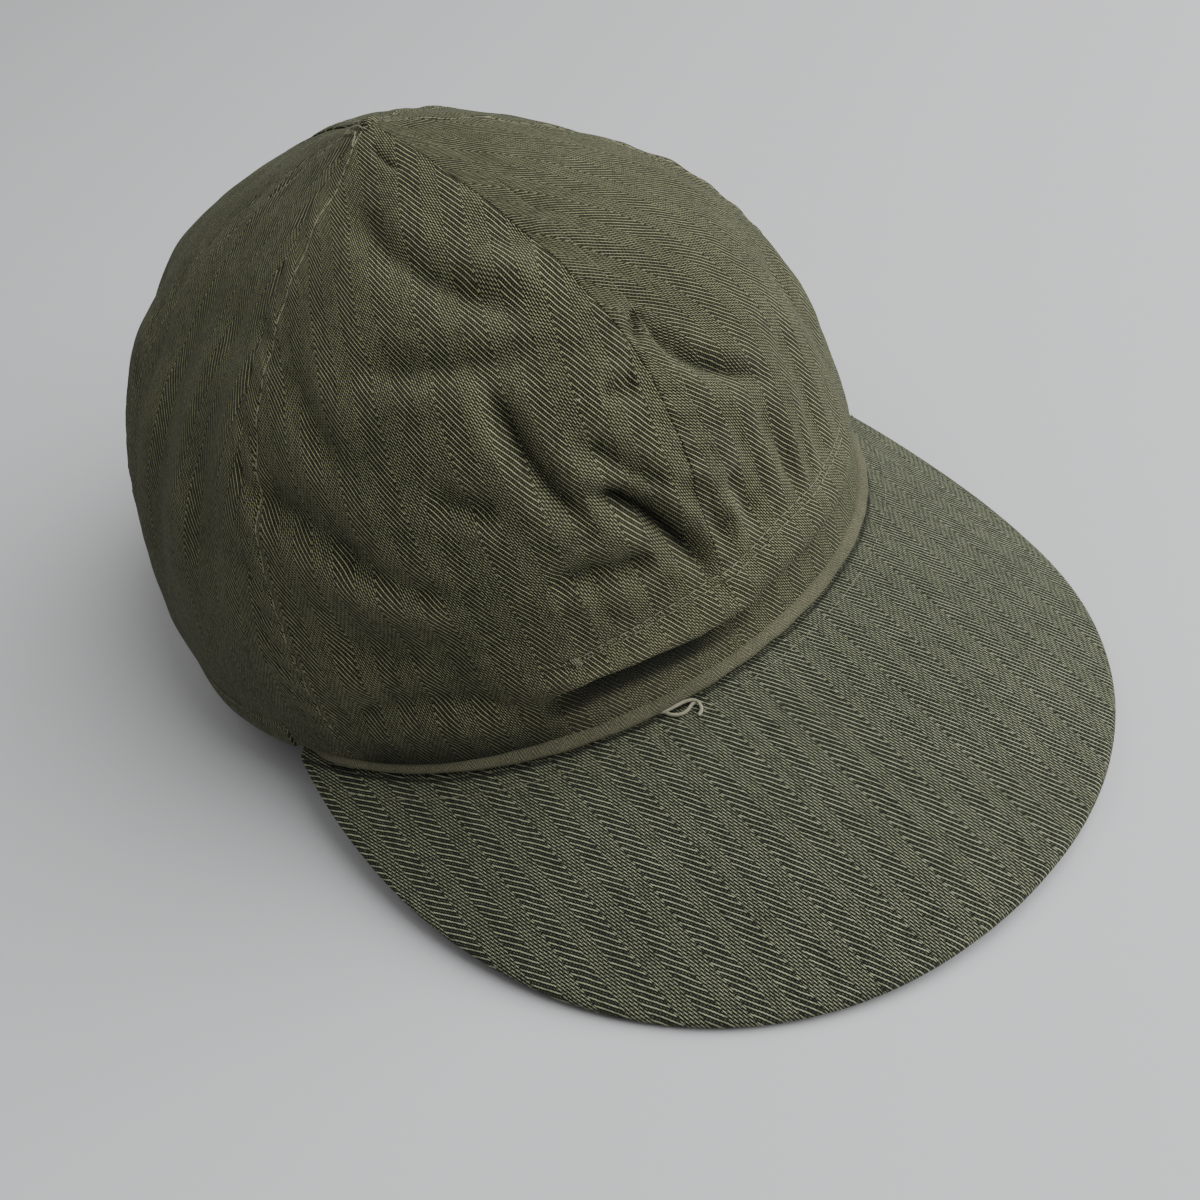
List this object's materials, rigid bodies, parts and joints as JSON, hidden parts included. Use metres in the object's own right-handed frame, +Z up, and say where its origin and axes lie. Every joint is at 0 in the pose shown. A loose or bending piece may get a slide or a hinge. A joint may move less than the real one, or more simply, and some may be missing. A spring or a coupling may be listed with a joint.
{
  "type": "utility cap",
  "caption": "Soft utility cap of herringbone cloth with panelled crown, pleated front and arched sewn visor, lying on its visor and back hem.",
  "frame": {"origin": "on the surface that the cap lies on, under the centre of its bounding box", "axes": "+Z up, the visor points along -Y and the wearer's right is at -X"},
  "size_m": [0.1698, 0.2766, 0.1275],
  "materials": {
    "crown_cloth": "worn herringbone cotton, matte",
    "tuck_cloth": "herringbone cotton rubbed paler along the fold, matte",
    "welt_cloth": "rubbed cotton over a cord, matte",
    "visor_cloth": "herringbone cotton, matte",
    "thread": "sewing thread, matte"
  },
  "bodies": {
    "root": {"crown_panel_front_right": "crown_cloth", "crown_panel_front_left": "crown_cloth", "crown_panel_side_right": "crown_cloth", "crown_panel_side_left": "crown_cloth", "crown_panel_back_right": "crown_cloth", "crown_panel_back_left": "crown_cloth", "front_tuck": "tuck_cloth", "rim_hem": "crown_cloth", "welt": "welt_cloth", "visor": "visor_cloth", "crown_knot": "thread"}
  },
  "joints": []
}
